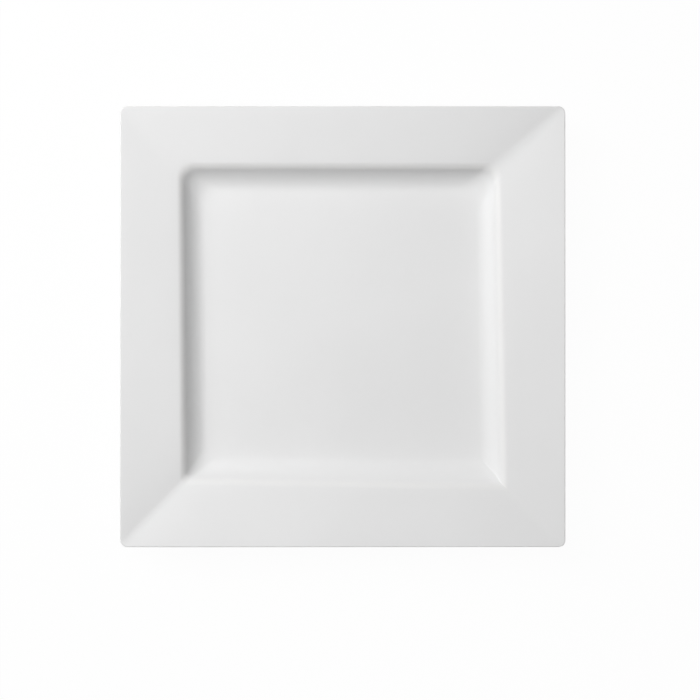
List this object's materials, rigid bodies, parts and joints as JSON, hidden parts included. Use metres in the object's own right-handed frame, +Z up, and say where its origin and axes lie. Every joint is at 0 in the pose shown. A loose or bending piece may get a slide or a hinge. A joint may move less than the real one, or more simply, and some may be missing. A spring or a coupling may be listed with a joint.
{
  "type": "square plate",
  "caption": "Square white porcelain dinner plate with a wide flat rim sloping up from a shallow coved well, rounded corners and lip, and a bare foot ring underneath.",
  "frame": {"origin": "centre of the plane that the foot ring stands on", "axes": "+Z up, out of the well; +X and +Y square to the plate's sides"},
  "size_m": [0.26, 0.26, 0.0217],
  "materials": {
    "bare_porcelain": "fired and unglazed, fine matte grain",
    "white_glaze": "smooth white satin glaze"
  },
  "bodies": {
    "root": {"porcelain_body": "bare_porcelain", "face_glaze": "white_glaze", "base_glaze": "white_glaze"}
  },
  "joints": []
}
